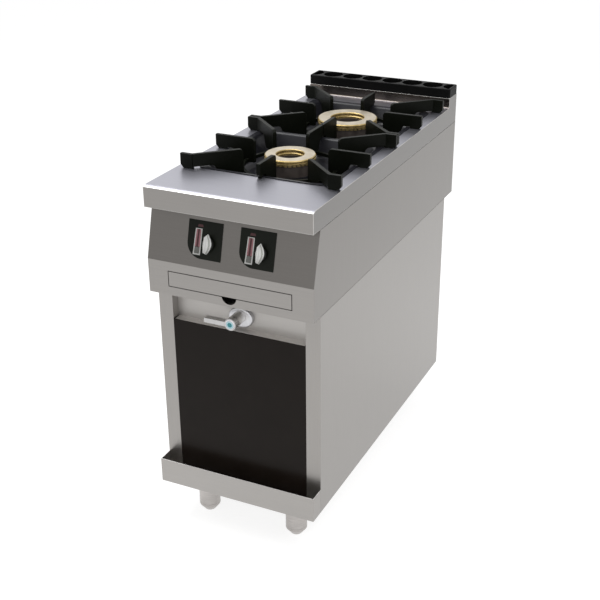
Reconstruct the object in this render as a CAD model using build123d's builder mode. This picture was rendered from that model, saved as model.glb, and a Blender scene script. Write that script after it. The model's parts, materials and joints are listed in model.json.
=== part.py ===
from build123d import *
import os
from math import atan2, cos, hypot, pi, sin

os.makedirs("parts", exist_ok=True)

# Two-burner professional gas range on a base cabinet.
# X runs to the right, the front faces -Y and Z is up. All sizes are in millimetres.
# The origin is on the floor, in the middle of the footprint.

# Driving dimensions
WIDTH = 400.0
DEPTH = 900.0
WORKTOP_Z = 850.0
FLUE_TOP_Z = 900.0
SHEET = 1.5
TOP_SHEET = 2.0
HALF = WIDTH / 2

# Heights of the front, from the floor up
BASE_Z = 105.0
LIP_TOP_Z = 166.5
PANEL_TOP_Z = 527.0
LEDGE_Z = PANEL_TOP_Z - 0.5
TAP_Z = 560.0
UNIT_Z = 603.0
RAIL_TOP_Z = 682.0
APRON_Z = 801.0
UPSTAND_Z = 876.0

# Slope of the control panel, and the knobs on it: across it, and up it from its lower edge
SLOPE_DEPTH = 32.0
SLOPE = atan2(SLOPE_DEPTH, APRON_Z - RAIL_TOP_Z)
SLOPE_LENGTH = hypot(SLOPE_DEPTH, APRON_Z - RAIL_TOP_Z)
KNOB_UP = 55.0
KNOBS = {"left": (-50.0, KNOB_UP), "right": (75.5, KNOB_UP)}
KNOB_HEIGHT = 27.4
GRIP_WIDTH = 20.0
GRIP_LENGTH = 44.0
GRIP_RIDGE_LENGTH = 34.0

# The ridges of the knobs stand in front of the worktop, so its front face is not at -DEPTH / 2
KNOB_REACH = KNOB_HEIGHT * cos(SLOPE) - (KNOB_UP - GRIP_RIDGE_LENGTH / 2) * sin(SLOPE)
FRONT = -(DEPTH - KNOB_REACH) / 2


def back(distance):
    """Y of a place that lies this far behind the worktop's front face."""
    return FRONT + distance


REAR = back(DEPTH)
FLUE_Y = back(842.0)
CABINET_Y = back(34.0)
CABINET_REAR = back(838.5)
STILE = 35.0
FASCIA_Y = back(56.0)
LIP_Y = back(-5.0)

# Burners, front and rear: centre, ring radius, radius of the hole in the ring
BURNERS = {
    "front": {"y": back(298.0), "ring": 58.4, "hole": 32.0, "notches": 36},
    "rear": {"y": back(627.0), "ring": 74.1, "hole": 41.7, "notches": 46},
}
BURNER_X = 4.0
RING_TOP_Z = 860.0
RING_HEIGHT = 14.0
BODY_TOP_Z = RING_TOP_Z - RING_HEIGHT
BODY_FLOOR_Z = 762.0
MIXER_Z = 782.0
MIXER_LENGTH = 80.0

# Spill basin and grates, which sit a little right of the middle
TOP_X = 6.0
BASIN_FRONT = back(149.0)
BASIN_REAR = back(785.0)
BASIN_HALF = 163.5
BASIN_SHEET = 2.0
BASIN_FLOOR_Z = 812.0
RIDGE_Y = back(467.0)

# Grates
GRATE_HALF = 194.0
GRATE_LENGTH = 328.0
GRATE_TOP_Z = 883.0
ARM = 9.0

# Bezels round the knobs
BEZELS = {"left": -62.0, "right": 63.5}
BEZEL_SIZE = 83.0
BEZEL_UP = 61.0

# The sloped control panel as a plane: local X goes right, local Y goes up the slope
PANEL = Plane(origin=(0, FRONT, RAIL_TOP_Z), x_dir=(1, 0, 0), z_dir=(0, -cos(SLOPE), sin(SLOPE)))

# Drip drawer
DRAWER_HALF = 149.5
DRAWER_Z = 624.5
DRAWER_HEIGHT = 35.5
TRAY_HALF = 146.0
TRAY_Z = 626.0
TRAY_HEIGHT = 26.0
TRAY_REAR = back(620.0)

# Feet
FOOT_X = 118.0
FOOT_YS = {"front": back(75.0), "rear": back(775.0)}
FOOT_RADIUS = 25.5
FOOT_TIP_RADIUS = 13.5
FOOT_TAPER = 15.8
FOOT_SEAM_Z = 22.0


def keep(piece, name):
    """Labels a finished piece and writes its STEP file."""
    piece.part.label = name
    export_step(piece.part, f"parts/{name}.step")


def folded(points, thickness=SHEET, bend=0.0, side=Side.LEFT):
    """Section of a folded sheet: a bent line, and the same line moved over by the thickness."""
    with BuildSketch() as section:
        with BuildLine():
            if bend:
                FilletPolyline(*points, radius=bend)
            else:
                Polyline(*points)
            offset(amount=thickness, side=side)
        make_face()
    return section.sketch


def on_panel(across, up, out=0.0):
    """Plane parallel to the control panel, at a place across it, up it and out from it."""
    return Plane(origin=PANEL.from_local_coords((across, up, out)), x_dir=(1, 0, 0), z_dir=PANEL.z_dir)


# Base tray: floor of the cabinet, folded up in front into the lip
with BuildPart() as base_tray:
    with BuildSketch(Plane.YZ):
        add(folded([(LIP_Y, LIP_TOP_Z), (LIP_Y, BASE_Z), (back(837.0), BASE_Z)]))
    extrude(amount=HALF - SHEET, both=True)
    with BuildSketch(Plane.YZ.offset(HALF)):
        with Locations(((LIP_Y + CABINET_Y) / 2, (BASE_Z + LIP_TOP_Z) / 2)):
            Rectangle(CABINET_Y - LIP_Y, LIP_TOP_Z - BASE_Z)
    extrude(amount=-SHEET)
    mirror(about=Plane.YZ)
keep(base_tray, "base_tray")

# Feet: a fixed tube under the tray, and a tapered bullet that screws out of it
with BuildPart() as foot_tubes:
    with BuildSketch(Plane.XY.offset(FOOT_SEAM_Z)):
        with Locations(*[(x, y) for x in (-FOOT_X, FOOT_X) for y in FOOT_YS.values()]):
            Circle(FOOT_RADIUS)
            Circle(FOOT_RADIUS - SHEET, mode=Mode.SUBTRACT)
    extrude(amount=BASE_Z - FOOT_SEAM_Z)
keep(foot_tubes, "foot_tubes")


def foot_bullet(x, y):
    """Tapered foot with a plug that slides in its tube."""
    plug_radius = FOOT_RADIUS - SHEET - 0.08
    with BuildPart() as bullet:
        with BuildSketch(Plane.XZ):
            with BuildLine():
                Polyline(
                    (0, 0),
                    (FOOT_TIP_RADIUS, 0),
                    (FOOT_RADIUS, FOOT_TAPER),
                    (FOOT_RADIUS, FOOT_SEAM_Z),
                    (plug_radius, FOOT_SEAM_Z),
                    (plug_radius, FOOT_SEAM_Z + 40),
                    (0, FOOT_SEAM_Z + 40),
                    close=True,
                )
            make_face()
        revolve(axis=Axis.Z)
    bullet.part = bullet.part.moved(Location((x, y, 0)))
    return bullet


for end, foot_y in FOOT_YS.items():
    for hand, foot_x in (("left", -FOOT_X), ("right", FOOT_X)):
        keep(foot_bullet(foot_x, foot_y), f"foot_bullet_{end}_{hand}")


# Screws that hold the cabinet back on the rear flanges of the sides
BACK_SCREW_X = 191.0
BACK_SCREW_ZS = (130.0, 285.0, 440.0, 590.0)
BACK_SCREWS = [(x, z) for x in (-BACK_SCREW_X, BACK_SCREW_X) for z in BACK_SCREW_ZS]
SCREW_RADIUS = 2.0


def cabinet_side(side):
    """Cabinet side: one folded sheet with the front stile and a rear flange."""
    outline = [
        (side * (HALF - 18), CABINET_REAR),
        (side * HALF, CABINET_REAR),
        (side * HALF, CABINET_Y),
        (side * (HALF - STILE), CABINET_Y),
        (side * (HALF - STILE), FASCIA_Y + 6),
    ]
    with BuildPart() as panel:
        with BuildSketch(Plane.XY.offset(BASE_Z + SHEET)):
            add(folded(outline, side=Side.RIGHT if side > 0 else Side.LEFT))
        extrude(amount=UNIT_Z - BASE_Z - SHEET)
        with BuildSketch(Plane.XY.offset(BASE_Z)):
            with Locations((side * (HALF - SHEET / 2), (CABINET_Y + CABINET_REAR) / 2)):
                Rectangle(SHEET, CABINET_REAR - CABINET_Y)
        extrude(amount=SHEET)
        with BuildSketch(Plane.XZ.offset(-CABINET_REAR)):
            with Locations(*[(side * BACK_SCREW_X, z) for z in BACK_SCREW_ZS]):
                Circle(SCREW_RADIUS + 0.1)
        extrude(amount=5, mode=Mode.SUBTRACT)
    return panel


keep(cabinet_side(-1), "cabinet_side_left")
keep(cabinet_side(1), "cabinet_side_right")

# Pipes leave through the cabinet back: gas on the left, water on the right
PIPE_X = 120.0
PIPE_EXIT_Z = 420.0
GAS_RADIUS = 10.0
WATER_RADIUS = 7.0

with BuildPart() as cabinet_back:
    with BuildSketch(Plane.XZ.offset(-CABINET_REAR)):
        with Locations((0, (BASE_Z + UNIT_Z) / 2)):
            Rectangle(WIDTH - 2, UNIT_Z - BASE_Z)
        with Locations((-PIPE_X, PIPE_EXIT_Z), (PIPE_X, PIPE_EXIT_Z)):
            Circle(14, mode=Mode.SUBTRACT)
        with Locations(*BACK_SCREWS):
            Circle(SCREW_RADIUS + 0.1, mode=Mode.SUBTRACT)
        with Locations((0, 200)):
            with GridLocations(80, 16, 3, 3):
                SlotOverall(60, 6, mode=Mode.SUBTRACT)
    extrude(amount=-SHEET)
keep(cabinet_back, "cabinet_back")

with BuildPart() as back_screws:
    with BuildSketch(Plane.XZ.offset(-CABINET_REAR - SHEET)):
        with Locations(*BACK_SCREWS):
            RegularPolygon(4.2, 6)
    extrude(amount=-3)
    with BuildSketch(Plane.XZ.offset(-CABINET_REAR - SHEET)):
        with Locations(*BACK_SCREWS):
            Circle(SCREW_RADIUS)
    extrude(amount=7)
keep(back_screws, "back_screws")

# Fascia behind the tap, set back from the stiles, with a ledge forward to the panel below
FRONT_PANEL_HALF = HALF - STILE - 0.5
LEDGE_HALF = FRONT_PANEL_HALF - SHEET - 0.5
with BuildPart() as fascia:
    with BuildSketch(Plane.YZ):
        add(
            folded(
                [
                    (FASCIA_Y + 20, UNIT_Z),
                    (FASCIA_Y, UNIT_Z),
                    (FASCIA_Y, LEDGE_Z - SHEET),
                ]
            )
        )
    extrude(amount=HALF - STILE, both=True)
    with BuildSketch(Plane.XY.offset(LEDGE_Z)):
        with Locations((0, (CABINET_Y + SHEET + 0.4 + FASCIA_Y + SHEET) / 2)):
            Rectangle(2 * LEDGE_HALF, FASCIA_Y - CABINET_Y - 0.4)
    extrude(amount=-SHEET)
    with BuildSketch(Plane.XZ.offset(-FASCIA_Y)):
        with Locations((0, TAP_Z)):
            Circle(11)
    extrude(amount=-SHEET, mode=Mode.SUBTRACT)
keep(fascia, "fascia")

# Black front panel: a shallow pan open at the top, which stands on the tray and lifts off
FRONT_PANEL_DEPTH = 18.0
with BuildPart() as front_panel:
    with BuildSketch(Plane.XZ.offset(-CABINET_Y)):
        with Locations((0, (BASE_Z + SHEET + PANEL_TOP_Z) / 2)):
            Rectangle(2 * FRONT_PANEL_HALF, PANEL_TOP_Z - BASE_Z - SHEET)
    extrude(amount=-FRONT_PANEL_DEPTH)
    fillet(front_panel.edges().filter_by(Axis.Z).group_by(Axis.Y)[0], 1.2)
    open_sides = [front_panel.faces().sort_by(Axis.Y)[-1], front_panel.faces().sort_by(Axis.Z)[-1]]
    offset(amount=-SHEET, openings=open_sides)
keep(front_panel, "front_panel")

# Floor of the upper unit, with holes for the pipes that pass through it
GAS_RUN_X = -178.0
FILL_RUN_X = 176.0
FILL_RUN_Y = back(85.0)
GAS_DROP_Y = back(790.0)
with BuildPart() as unit_floor:
    with BuildSketch(Plane.XY.offset(UNIT_Z + SHEET)):
        with Locations((0, (back(3.2) + back(896.8)) / 2)):
            Rectangle(WIDTH - 2 * SHEET, back(896.8) - back(3.2))
        with Locations((-PIPE_X, GAS_DROP_Y)):
            Circle(14, mode=Mode.SUBTRACT)
        with Locations((FILL_RUN_X, FILL_RUN_Y)):
            Circle(9, mode=Mode.SUBTRACT)
        with Locations((0, back(500.0))):
            with GridLocations(90, 40, 3, 8):
                SlotOverall(70, 12, mode=Mode.SUBTRACT)
    extrude(amount=SHEET)
keep(unit_floor, "unit_floor")

# Upper side panels: trays with flanges all round, whose front edge follows the slope
FRONT_GAP = 1.6


def side_panel(side):
    """Upper side panel, a sheet folded inwards along every edge."""
    with BuildPart() as panel:
        with BuildSketch(Plane.YZ.offset(side * HALF)):
            with BuildLine():
                Polyline(
                    (back(FRONT_GAP), UNIT_Z),
                    (back(FRONT_GAP), RAIL_TOP_Z),
                    (back(FRONT_GAP + SLOPE_DEPTH), APRON_Z),
                    (REAR, APRON_Z),
                    (REAR, UNIT_Z),
                    close=True,
                )
            make_face()
        extrude(amount=-side * 18)
        inner_face = panel.faces().sort_by(Axis.X)[0 if side > 0 else -1]
        offset(amount=-SHEET, openings=inner_face)
    return panel


keep(side_panel(-1), "side_panel_left")
keep(side_panel(1), "side_panel_right")

with BuildPart() as upper_back_panel:
    with BuildSketch(Plane.XZ.offset(-REAR + SHEET)):
        with Locations((0, (UNIT_Z + SHEET + APRON_Z) / 2)):
            Rectangle(WIDTH - 2 * SHEET, APRON_Z - UNIT_Z - 3 * SHEET)
            with GridLocations(110, 14, 3, 4):
                SlotOverall(80, 6, mode=Mode.SUBTRACT)
    extrude(amount=SHEET)
keep(upper_back_panel, "upper_back_panel")

# Front rail with the drawer's opening and the half-round finger notch below it
RETURN_HALF = 180.0
with BuildPart() as front_rail:
    with BuildSketch(Plane.XZ.offset(-FRONT)):
        with Locations((0, (UNIT_Z + RAIL_TOP_Z) / 2)):
            Rectangle(WIDTH, RAIL_TOP_Z - UNIT_Z)
        with Locations((0, DRAWER_Z + DRAWER_HEIGHT / 2)):
            Rectangle(2 * DRAWER_HALF + 2, DRAWER_HEIGHT + 2, mode=Mode.SUBTRACT)
        with Locations((0, DRAWER_Z + 1.5)):
            Circle(18, mode=Mode.SUBTRACT)
    extrude(amount=-SHEET)
    with BuildSketch(Plane.YZ):
        for height in (UNIT_Z + SHEET / 2, RAIL_TOP_Z - SHEET / 2):
            with Locations((back(9.0), height)):
                Rectangle(18, SHEET)
    extrude(amount=RETURN_HALF, both=True)
keep(front_rail, "front_rail")

# Sloped control panel with the two stem holes
with BuildPart() as control_panel:
    with BuildSketch(PANEL):
        with Locations((0, SLOPE_LENGTH / 2)):
            Rectangle(WIDTH, SLOPE_LENGTH)
        with Locations(*KNOBS.values()):
            Circle(6, mode=Mode.SUBTRACT)
    extrude(amount=-SHEET)
    with BuildSketch(Plane.YZ):
        with Locations((back(10.0), RAIL_TOP_Z + SHEET / 2)):
            Rectangle(18, SHEET)
        with Locations((back(SLOPE_DEPTH + 10.0), APRON_Z - SHEET / 2)):
            Rectangle(18, SHEET)
    extrude(amount=RETURN_HALF, both=True)
    split(bisect_by=Plane.XY.offset(RAIL_TOP_Z), keep=Keep.TOP)
    split(bisect_by=Plane.XY.offset(APRON_Z), keep=Keep.BOTTOM)
keep(control_panel, "control_panel")

# Worktop: apron with a bevelled top edge, side skirts, and a cove up to the flue's rim
BASIN_HOLE_MARGIN = 7.0
DUCT_WIDTH = 363.0
with BuildPart() as worktop:
    with BuildSketch(Plane.YZ) as outline:
        with BuildLine():
            front_edge = Polyline(
                (REAR, APRON_Z - TOP_SHEET), (FRONT, APRON_Z - TOP_SHEET), (FRONT, WORKTOP_Z - 3)
            )
            bevel = RadiusArc(front_edge @ 1, (back(13.0), WORKTOP_Z), 30)
            top = Line(bevel @ 1, (FLUE_Y - 20, WORKTOP_Z))
            cove = RadiusArc(top @ 1, (FLUE_Y, WORKTOP_Z + 20), -20)
            Polyline(cove @ 1, (FLUE_Y, UPSTAND_Z), (REAR, UPSTAND_Z), (REAR, APRON_Z - TOP_SHEET))
        make_face()
    extrude(amount=HALF, both=True)
    with BuildSketch(Plane.YZ):
        add(outline.sketch_local)
        offset(amount=-TOP_SHEET, kind=Kind.INTERSECTION, mode=Mode.REPLACE)
    extrude(amount=HALF - TOP_SHEET, both=True, mode=Mode.SUBTRACT)
    split(bisect_by=Plane.XY.offset(APRON_Z), keep=Keep.TOP)
    with BuildSketch(Plane.XY.offset(WORKTOP_Z)):
        with Locations((TOP_X, (BASIN_FRONT + BASIN_REAR) / 2)):
            RectangleRounded(
                2 * (BASIN_HALF - BASIN_HOLE_MARGIN),
                BASIN_REAR - BASIN_FRONT - 2 * BASIN_HOLE_MARGIN,
                20,
            )
    extrude(amount=-TOP_SHEET, mode=Mode.SUBTRACT)
    with BuildSketch(Plane.XY.offset(UPSTAND_Z)):
        with Locations((0, (FLUE_Y + REAR) / 2)):
            Rectangle(DUCT_WIDTH - 4, DEPTH - 842 - 12)
    extrude(amount=-TOP_SHEET, mode=Mode.SUBTRACT)
    with BuildSketch(Plane.YZ):
        with Locations((back(18.0), APRON_Z + SHEET / 2)):
            Rectangle(32, SHEET)
    extrude(amount=HALF - TOP_SHEET, both=True)
keep(worktop, "worktop")

# Flue duct below the rim, with windows that let the flue gas in from the burner space
DUCT_BOTTOM_Z = 700.0
with BuildPart() as flue_duct:
    with BuildSketch(Plane.XY.offset(DUCT_BOTTOM_Z)):
        with Locations((0, (FLUE_Y + REAR) / 2)):
            Rectangle(DUCT_WIDTH, 50)
            Rectangle(DUCT_WIDTH - 2 * SHEET, 50 - 2 * SHEET, mode=Mode.SUBTRACT)
    extrude(amount=UPSTAND_Z - TOP_SHEET - DUCT_BOTTOM_Z)
    with BuildSketch(Plane.XZ.offset(-FLUE_Y)):
        with Locations((0, 780)):
            with GridLocations(90, 1, 4, 1):
                RectangleRounded(70, 90, 8)
    extrude(amount=-12, mode=Mode.SUBTRACT)
keep(flue_duct, "flue_duct")

# Flue grille: cast frame with six oval openings and a half one at each end
GRILLE_PITCH = 57.0
GRILLE_WALL = 5.0
GRILLE_DEPTH = REAR - FLUE_Y
GRILLE_HEIGHT = FLUE_TOP_Z - UPSTAND_Z
with BuildPart() as flue_grille:
    with BuildSketch(Plane.XY.offset(UPSTAND_Z)):
        with Locations((0, (FLUE_Y + REAR) / 2)):
            RectangleRounded(WIDTH, GRILLE_DEPTH, 4)
    extrude(amount=GRILLE_HEIGHT)
    chamfer(flue_grille.faces().sort_by(Axis.Z)[-1].edges(), 1.5)
    with BuildSketch(Plane.XY.offset(UPSTAND_Z)) as openings:
        with Locations((0, (FLUE_Y + REAR) / 2)):
            with GridLocations(GRILLE_PITCH, 1, 8, 1):
                Ellipse(24.5, GRILLE_DEPTH / 2 - GRILLE_WALL)
            Rectangle(WIDTH - 2 * GRILLE_WALL, GRILLE_DEPTH, mode=Mode.INTERSECT)
    extrude(amount=GRILLE_HEIGHT, mode=Mode.SUBTRACT)
keep(flue_grille, "flue_grille")


# Spill basin: a rim on the worktop and two bowls with sloping walls and a round ridge between
BASIN_FLARE = 35.0
RIM_ROLL = 10.0
BASIN_RIM = 12.0
BOWL_DEPTH = WORKTOP_Z + BASIN_SHEET - BASIN_FLOOR_Z
BOWLS = [
    (BASIN_FRONT + 10, RIDGE_Y - 6),
    (RIDGE_Y + 6, BASIN_REAR - 10),
]


def bowls(grow):
    """The two bowls as solids, their rims and floors grown outwards by a sheet's thickness."""
    with BuildPart() as solid:
        with BuildSketch(Plane.XY.offset(WORKTOP_Z + BASIN_SHEET)):
            for near, far in BOWLS:
                with Locations((TOP_X, (near + far) / 2)):
                    RectangleRounded(
                        2 * (BASIN_HALF - BASIN_RIM + grow), far - near + 2 * grow, 40 + grow
                    )
        extrude(amount=-BOWL_DEPTH - grow, taper=BASIN_FLARE)
        fillet(solid.faces().group_by(Axis.Z)[0].edges(), 14 + grow)
    return solid.part


def in_a_bowl_rim(edge):
    """True for the edges between the flat rim and a bowl, and false for the rim's outer ones."""
    middle = edge.center()
    inside = abs(middle.X - TOP_X) < BASIN_HALF - 11
    return inside and BASIN_FRONT + 9 < middle.Y < BASIN_REAR - 9


def service_spots(burner):
    """Places beside a burner for its pilot and its thermocouple, between two arms of the grate."""
    reach = burner["ring"] + 10
    angles = {"pilot": 0.6 * pi, "thermocouple": 0.6 * pi + 16 / reach}
    return {
        name: (BURNER_X + reach * cos(angle), burner["y"] + reach * sin(angle))
        for name, angle in angles.items()
    }


with BuildPart() as spill_basin:
    with BuildSketch(Plane.XY.offset(WORKTOP_Z)):
        with Locations((TOP_X, (BASIN_FRONT + BASIN_REAR) / 2)):
            RectangleRounded(2 * BASIN_HALF, BASIN_REAR - BASIN_FRONT, 26)
    extrude(amount=BASIN_SHEET)
    add(bowls(BASIN_SHEET))
    split(bisect_by=Plane.XY.offset(WORKTOP_Z + BASIN_SHEET), keep=Keep.BOTTOM)
    add(bowls(0), mode=Mode.SUBTRACT)
    rims = spill_basin.edges().group_by(Axis.Z)[-1].filter_by(in_a_bowl_rim)
    fillet(rims, RIM_ROLL)
    for burner in BURNERS.values():
        with BuildSketch(Plane.XY.offset(BASIN_FLOOR_Z - BASIN_SHEET)):
            with Locations((BURNER_X, burner["y"])):
                Circle(burner["ring"] + 2)
        extrude(amount=BASIN_SHEET + 8)
        with BuildSketch(Plane.XY.offset(BASIN_FLOOR_Z - BASIN_SHEET)):
            with Locations((BURNER_X, burner["y"])):
                Circle(burner["ring"] - 2.4)
        extrude(amount=BASIN_SHEET + 8, mode=Mode.SUBTRACT)
        spots = service_spots(burner)
        with BuildSketch(Plane.XY.offset(BASIN_FLOOR_Z - BASIN_SHEET)):
            with Locations(*spots.values()):
                Circle(7)
        extrude(amount=BASIN_SHEET + 8)
        with BuildSketch(Plane.XY.offset(BASIN_FLOOR_Z - BASIN_SHEET)):
            with Locations(spots["pilot"]):
                Circle(3.6)
            with Locations(spots["thermocouple"]):
                Circle(3.1)
        extrude(amount=BASIN_SHEET + 8, mode=Mode.SUBTRACT)
keep(spill_basin, "spill_basin")


# Burners
BODY_WALL = 4.0
CHIMNEY_WALL = 3.0


def burner_body(burner):
    """Cast body: a ring-shaped trough open at the top, round a central air passage."""
    outer = burner["ring"] - 2.9
    inner = burner["hole"] - 3.0
    with BuildPart() as body:
        with BuildSketch(Plane.XZ):
            with BuildLine():
                Polyline(
                    (inner, BODY_FLOOR_Z),
                    (outer, BODY_FLOOR_Z),
                    (outer, BODY_TOP_Z),
                    (outer - BODY_WALL, BODY_TOP_Z),
                    (outer - BODY_WALL, BODY_FLOOR_Z + 5),
                    (inner + CHIMNEY_WALL, BODY_FLOOR_Z + 5),
                    (inner + CHIMNEY_WALL, BODY_TOP_Z),
                    (inner, BODY_TOP_Z),
                    close=True,
                )
            make_face()
        revolve(axis=Axis.Z)
        with BuildSketch(Plane.XZ.offset(outer + 12)):
            with Locations((0, MIXER_Z)):
                Circle(18)
        extrude(amount=-18)
        with BuildSketch(Plane.XZ.offset(outer + 12)):
            with Locations((0, MIXER_Z)):
                Circle(13)
        extrude(amount=-20, mode=Mode.SUBTRACT)
    body.part = body.part.moved(Location((BURNER_X, burner["y"], 0)))
    return body


def burner_ring(burner):
    """Loose brass ring: flat top, grooved side, gas ports as notches round its lower edge."""
    outer = burner["ring"]
    hole = burner["hole"]
    seat = outer - 2.9 - BODY_WALL - 0.4
    with BuildPart() as ring:
        with BuildSketch(Plane.XZ):
            with BuildLine():
                Polyline(
                    (hole, RING_TOP_Z - 1.5),
                    (hole + 1.5, RING_TOP_Z),
                    (outer - 2, RING_TOP_Z),
                    (outer, RING_TOP_Z - 2),
                    (outer, RING_TOP_Z - 5),
                    (outer - 1.6, RING_TOP_Z - 5.8),
                    (outer - 1.6, RING_TOP_Z - 7),
                    (outer, RING_TOP_Z - 7.8),
                    (outer, BODY_TOP_Z),
                    (seat, BODY_TOP_Z),
                    (seat, BODY_TOP_Z - 4),
                    (seat - 3, BODY_TOP_Z - 4),
                    (seat - 3, BODY_TOP_Z + 6),
                    (hole + 4, BODY_TOP_Z + 6),
                    (hole + 4, BODY_TOP_Z),
                    (hole - 1, BODY_TOP_Z),
                    (hole - 1, BODY_TOP_Z + 4),
                    (hole + 1.5, BODY_TOP_Z + 6),
                    (hole + 1.5, RING_TOP_Z - 4),
                    (hole, RING_TOP_Z - 4),
                    close=True,
                )
            make_face()
        revolve(axis=Axis.Z)
        with BuildSketch(Plane.XY.offset(BODY_TOP_Z)):
            with PolarLocations(outer, burner["notches"]):
                Rectangle(24, 2.2)
        extrude(amount=4, mode=Mode.SUBTRACT)
    ring.part = ring.part.moved(Location((BURNER_X, burner["y"], 0)))
    return ring


def mixer_mouth(burner):
    """Y of the mixing tube's open end."""
    return burner["y"] - (burner["ring"] - 2.9) - 12 - MIXER_LENGTH


def mixer_tube(burner):
    """Mixing tube in front of its body: bell mouth, throat, flange, and a hub on three spokes."""
    mouth = mixer_mouth(burner)
    throat = mouth + 26
    flange = mouth + MIXER_LENGTH
    with BuildPart() as tube:
        with BuildSketch(Plane.YZ):
            with BuildLine():
                Polyline(
                    (throat, MIXER_Z + 9),
                    (flange, MIXER_Z + 13),
                    (flange, MIXER_Z + 18),
                    (flange - 4, MIXER_Z + 18),
                    (flange - 4, MIXER_Z + 15.5),
                    (throat, MIXER_Z + 11.5),
                )
                RadiusArc((throat, MIXER_Z + 11.5), (mouth, MIXER_Z + 21), -34)
                Line((mouth, MIXER_Z + 21), (mouth, MIXER_Z + 18.5))
                RadiusArc((mouth, MIXER_Z + 18.5), (throat, MIXER_Z + 9), 36)
            make_face()
        revolve(axis=Axis((0, 0, MIXER_Z), (0, 1, 0)))
        with BuildSketch(Plane.XZ.offset(-mouth)):
            with Locations((0, MIXER_Z)):
                with PolarLocations(12.5, 3, start_angle=90):
                    Rectangle(13, 3)
                Circle(7.5)
                Circle(5, mode=Mode.SUBTRACT)
        extrude(amount=-5)
    tube.part = tube.part.moved(Location((BURNER_X, 0, 0)))
    return tube


for name, burner in BURNERS.items():
    keep(burner_body(burner), f"burner_body_{name}")
    keep(burner_ring(burner), f"burner_ring_{name}")
    keep(mixer_tube(burner), f"mixer_tube_{name}")

with BuildPart() as gas_injectors:
    for burner in BURNERS.values():
        tail = mixer_mouth(burner) - 14
        with BuildSketch(Plane.XZ.offset(-tail)):
            with Locations((BURNER_X, MIXER_Z)):
                Circle(4.9)
        extrude(amount=-20)
        with BuildSketch(Plane.XZ.offset(-tail - 4)):
            with Locations((BURNER_X, MIXER_Z)):
                RegularPolygon(7, 6)
        extrude(amount=-8)
keep(gas_injectors, "gas_injectors")

# Pilots and thermocouples come up through the basin floor, held by a bracket on the body
PILOT_BRACKET_Z = 775.0
with BuildPart() as pilot_burners:
    for burner in BURNERS.values():
        spots = service_spots(burner)
        with BuildSketch(Plane.XY.offset(PILOT_BRACKET_Z)):
            with Locations(*spots.values()):
                Circle(9)
            with Locations((BURNER_X, burner["y"])):
                Circle(burner["ring"] - 2.9, mode=Mode.SUBTRACT)
            with Locations(spots["thermocouple"]):
                Circle(3, mode=Mode.SUBTRACT)
        extrude(amount=3)
        with BuildSketch(Plane.XY.offset(PILOT_BRACKET_Z)):
            with Locations(spots["pilot"]):
                Circle(3.5)
        extrude(amount=74)
        with BuildSketch(Plane.XY.offset(PILOT_BRACKET_Z + 68)):
            with Locations(spots["pilot"]):
                Circle(5)
        extrude(amount=8)
keep(pilot_burners, "pilot_burners")

with BuildPart() as thermocouples:
    with BuildSketch(Plane.XY.offset(PILOT_BRACKET_Z)):
        with Locations(*[service_spots(burner)["thermocouple"] for burner in BURNERS.values()]):
            Circle(3)
    extrude(amount=76)
    chamfer(thermocouples.faces().group_by(Axis.Z)[-1].edges(), 1)
keep(thermocouples, "thermocouples")

# Rails across the unit that carry the burner bodies
RAIL_HEIGHT = 20.0
with BuildPart() as burner_rails:
    for burner in BURNERS.values():
        near, far = burner["y"] - 38, burner["y"] + 38
        with BuildSketch(Plane.YZ):
            add(
                folded(
                    [
                        (near, BODY_FLOOR_Z - RAIL_HEIGHT),
                        (near, BODY_FLOOR_Z),
                        (far, BODY_FLOOR_Z),
                        (far, BODY_FLOOR_Z - RAIL_HEIGHT),
                    ],
                    side=Side.RIGHT,
                )
            )
        extrude(amount=HALF - SHEET, both=True)
        with BuildSketch(Plane.XY.offset(BODY_FLOOR_Z)):
            with Locations((BURNER_X, burner["y"])):
                Circle(burner["hole"] - 3)
        extrude(amount=-SHEET, mode=Mode.SUBTRACT)
keep(burner_rails, "burner_rails")


# Grates: eight flat arms each, with feet on the worktop and noses round the burner
ARM_LOW_Z = 826.0
ARM_OVER_RIM_Z = 854.0
NOSE = 9.0
LINK_RADIUS = 112.0
FOOT_END = 164.0


def arm(start, end, foot, dip_start, dip_end):
    """One upright arm from its outer to its inner end: foot, hop over the rim, dip into the bowl."""
    run = Vector(*end) - Vector(*start)
    length = run.length
    along = run.normalized()
    upright = Plane(origin=(*start, 0), x_dir=(along.X, along.Y, 0), z_dir=(along.Y, -along.X, 0))
    foot_line = [(0, WORKTOP_Z + 8), (7, WORKTOP_Z), (foot, WORKTOP_Z), (foot + 2, ARM_OVER_RIM_Z)]
    plain_line = [(0, ARM_OVER_RIM_Z)]
    bend = 0.6 * (dip_end - dip_start)
    with BuildPart() as plate:
        with BuildSketch(upright):
            with BuildLine():
                Polyline(
                    (0, GRATE_TOP_Z),
                    *(foot_line if foot else plain_line),
                    (dip_start, ARM_OVER_RIM_Z),
                )
                Bezier(
                    (dip_start, ARM_OVER_RIM_Z),
                    (dip_start + bend, ARM_OVER_RIM_Z),
                    (dip_end - bend, ARM_LOW_Z),
                    (dip_end, ARM_LOW_Z),
                )
                Polyline((dip_end, ARM_LOW_Z), (length, ARM_LOW_Z), (length, GRATE_TOP_Z - NOSE))
                RadiusArc((length, GRATE_TOP_Z - NOSE), (length - NOSE, GRATE_TOP_Z), -NOSE)
                Line((length - NOSE, GRATE_TOP_Z), (0, GRATE_TOP_Z))
            make_face()
        extrude(amount=ARM / 2, both=True)
    return plate.part


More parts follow.
